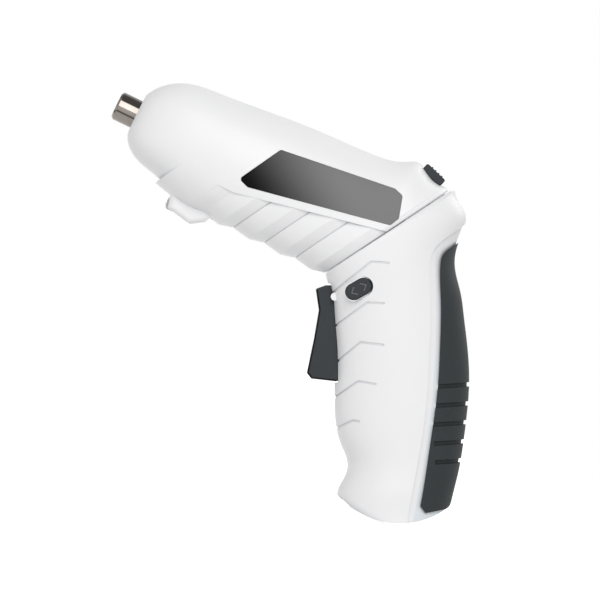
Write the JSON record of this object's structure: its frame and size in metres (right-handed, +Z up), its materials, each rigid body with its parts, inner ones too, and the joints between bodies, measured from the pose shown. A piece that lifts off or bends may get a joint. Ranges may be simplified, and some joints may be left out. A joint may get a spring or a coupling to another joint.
{
  "type": "electric screwdriver",
  "caption": "Cordless screwdriver with a rounded barrel on an oblique swivel seam, a hex bit holder, planetary drive, trigger, direction bar and rubber-backed handle.",
  "frame": {"origin": "centre of the hex socket's mouth at the front end of the bit holder", "axes": "-X points out of the nose along the bit axis, +Z up, -Y the left side that the picture shows"},
  "size_m": [0.1803, 0.0442, 0.13],
  "materials": {
    "white_shell": "smooth white moulding",
    "dark_panel": "dark satin inlay",
    "dark_control": "near-black moulding",
    "grip_rubber": "dark slate rubber",
    "plated_steel": "bright plated",
    "steel": "plain steel",
    "bronze": "sintered bronze and copper",
    "ferrite": "dull ferrite",
    "grey_plastic": "glass-filled grey moulding",
    "clear_lens": "clear moulded lens",
    "cell_wrap": "shrink wrap",
    "board": "green solder mask",
    "chip": "black moulded parts",
    "lead_cover": "insulated leads"
  },
  "bodies": {
    "barrel": {"barrel_shell_left": "white_shell", "barrel_shell_right": "white_shell", "side_panel_left": "dark_panel", "side_panel_right": "dark_panel", "barrel_screws": "steel", "lamp_lens": "clear_lens", "lamp_led": "clear_lens", "gearbox_housing": "grey_plastic", "ring_gear": "steel", "gearbox_plate": "steel", "spindle_bush": "bronze", "motor_can": "steel", "motor_magnets": "ferrite", "motor_end_cap": "grey_plastic", "motor_terminals": "steel", "latch_leaf": "steel", "lock_spring": "steel", "motor_leads": "lead_cover"},
    "spindle": {"bit_holder": "plated_steel", "bit_magnet": "steel", "spindle_clip": "steel", "output_carrier": "steel"},
    "first_carrier": {"first_carrier": "steel"},
    "rotor": {"motor_rotor": "steel", "motor_pinion": "steel", "commutator": "bronze"},
    "lock_button": {"lock_button": "dark_control"},
    "handle": {"handle_shell_left": "white_shell", "handle_shell_right": "white_shell", "back_grip": "grip_rubber", "swivel_ring": "steel", "handle_screws": "steel", "battery_cell": "cell_wrap", "battery_tabs": "steel", "control_board": "board", "board_parts": "chip", "charge_socket": "steel", "trigger_switch": "chip", "direction_switch": "chip", "trigger_pin": "steel", "trigger_spring": "steel", "handle_leads": "lead_cover"},
    "trigger": {"trigger": "dark_control"},
    "direction_bar": {"direction_bar": "dark_control"},
    "first_planet_1": {"first_planet_1": "steel"},
    "first_planet_2": {"first_planet_2": "steel"},
    "first_planet_3": {"first_planet_3": "steel"},
    "second_planet_1": {"second_planet_1": "steel"},
    "second_planet_2": {"second_planet_2": "steel"},
    "second_planet_3": {"second_planet_3": "steel"}
  },
  "joints": [
    {"name": "handle_swivel", "type": "hinge", "parent": "barrel", "child": "handle", "pos_m": [0.1125, 0, 0], "axis": [0.8616, 0, -0.5075], "range_deg": [0, 180], "deforming": ["latch_leaf"]},
    {"name": "lock_press", "type": "slide", "parent": "barrel", "child": "lock_button", "axis": [-0.304, 0, -0.9527], "range_m": [0, 0.002], "stiffness_N_per_m": 800, "springref_m": -0.002, "deforming": ["lock_spring", "latch_leaf"]},
    {"name": "trigger_pull", "type": "hinge", "parent": "handle", "child": "trigger", "pos_m": [0.10627, 0, -0.02918], "axis": [0, -1, 0], "range_deg": [0, 8], "stiffness_Nm_per_rad": 0.35, "springref_deg": -8.59, "deforming": ["trigger_spring"]},
    {"name": "direction_slide", "type": "slide", "parent": "handle", "child": "direction_bar", "axis": [0, 1, 0], "range_m": [-0.0016, 0.0016]},
    {"name": "rotor_spin", "type": "hinge", "parent": "barrel", "child": "rotor", "pos_m": [0.065, 0, 0], "axis": [1, 0, 0], "continuous": true},
    {"name": "first_carrier_spin", "type": "hinge", "parent": "barrel", "child": "first_carrier", "pos_m": [0.041, 0, 0], "axis": [1, 0, 0], "continuous": true},
    {"name": "spindle_spin", "type": "hinge", "parent": "barrel", "child": "spindle", "pos_m": [0.02, 0, 0], "axis": [1, 0, 0], "continuous": true},
    {"name": "first_planet_1_spin", "type": "hinge", "parent": "first_carrier", "child": "first_planet_1", "pos_m": [0.045, 0.00675, 0], "axis": [1, 0, 0], "continuous": true},
    {"name": "first_planet_2_spin", "type": "hinge", "parent": "first_carrier", "child": "first_planet_2", "pos_m": [0.045, -0.00337, 0.00585], "axis": [1, 0, 0], "continuous": true},
    {"name": "first_planet_3_spin", "type": "hinge", "parent": "first_carrier", "child": "first_planet_3", "pos_m": [0.045, -0.00337, -0.00585], "axis": [1, 0, 0], "continuous": true},
    {"name": "second_planet_1_spin", "type": "hinge", "parent": "spindle", "child": "second_planet_1", "pos_m": [0.037, 0.00675, 0], "axis": [1, 0, 0], "continuous": true},
    {"name": "second_planet_2_spin", "type": "hinge", "parent": "spindle", "child": "second_planet_2", "pos_m": [0.037, -0.00337, 0.00585], "axis": [1, 0, 0], "continuous": true},
    {"name": "second_planet_3_spin", "type": "hinge", "parent": "spindle", "child": "second_planet_3", "pos_m": [0.037, -0.00337, -0.00585], "axis": [1, 0, 0], "continuous": true}
  ],
  "couplings": [
    {"joint": "first_carrier_spin", "follows": "rotor_spin", "ratio": 0.16667},
    {"joint": "spindle_spin", "follows": "rotor_spin", "ratio": 0.027778},
    {"joint": "first_planet_1_spin", "follows": "rotor_spin", "ratio": -0.41667},
    {"joint": "first_planet_2_spin", "follows": "rotor_spin", "ratio": -0.41667},
    {"joint": "first_planet_3_spin", "follows": "rotor_spin", "ratio": -0.41667},
    {"joint": "second_planet_1_spin", "follows": "rotor_spin", "ratio": -0.069444},
    {"joint": "second_planet_2_spin", "follows": "rotor_spin", "ratio": -0.069444},
    {"joint": "second_planet_3_spin", "follows": "rotor_spin", "ratio": -0.069444}
  ]
}
